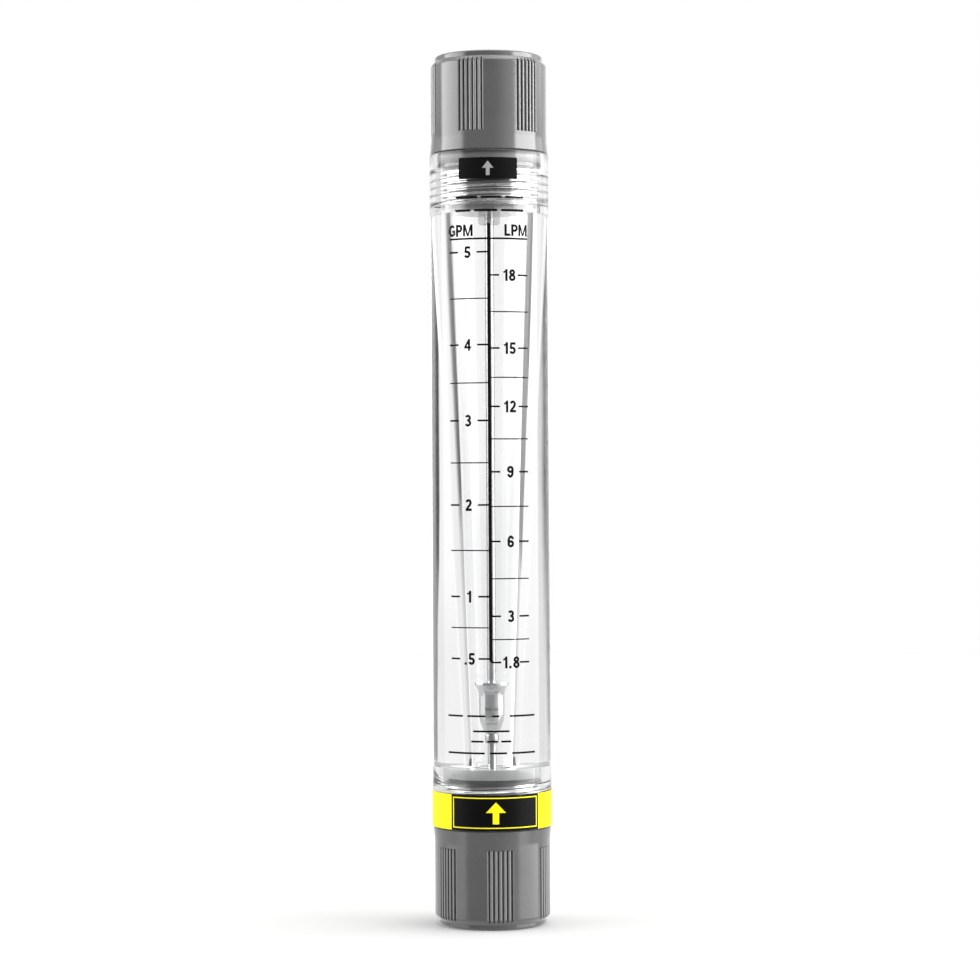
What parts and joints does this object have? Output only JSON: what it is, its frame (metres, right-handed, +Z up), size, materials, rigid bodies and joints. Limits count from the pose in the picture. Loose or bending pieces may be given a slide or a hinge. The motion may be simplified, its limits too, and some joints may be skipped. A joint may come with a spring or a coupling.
{
  "type": "rotameter",
  "caption": "In-line variable-area flow meter: clear body with a tapered bore, a float sliding on a guide rod, and a ribbed pipe connector with a female thread at each end.",
  "frame": {"origin": "centre of the lower (inlet) end face, which the meter stands on", "axes": "+Z up along the flow, -Y towards the printed scale, +X to the right of it"},
  "size_m": [0.0322, 0.0322, 0.233],
  "materials": {
    "clear_acrylic": "clear, polished outside and in",
    "grey_abs": "moulded, satin gloss",
    "seal_rubber": "white silicone",
    "holder_plastic": "moulded",
    "stainless": "polished",
    "label_film": "printed film, yellow with a black panel"
  },
  "bodies": {
    "meter_body": {"measuring_tube": "clear_acrylic", "inlet_connector": "grey_abs", "outlet_connector": "grey_abs", "inlet_o_ring": "seal_rubber", "outlet_o_ring": "seal_rubber", "lower_rod_holder": "holder_plastic", "upper_rod_holder": "holder_plastic", "guide_rod": "stainless", "lower_stop": "stainless", "label_band": "label_film"},
    "float": {"float": "stainless"}
  },
  "joints": [
    {"name": "float_slide", "type": "slide", "parent": "meter_body", "child": "float", "axis": [0, 0, 1], "range_m": [0, 0.1223]}
  ]
}
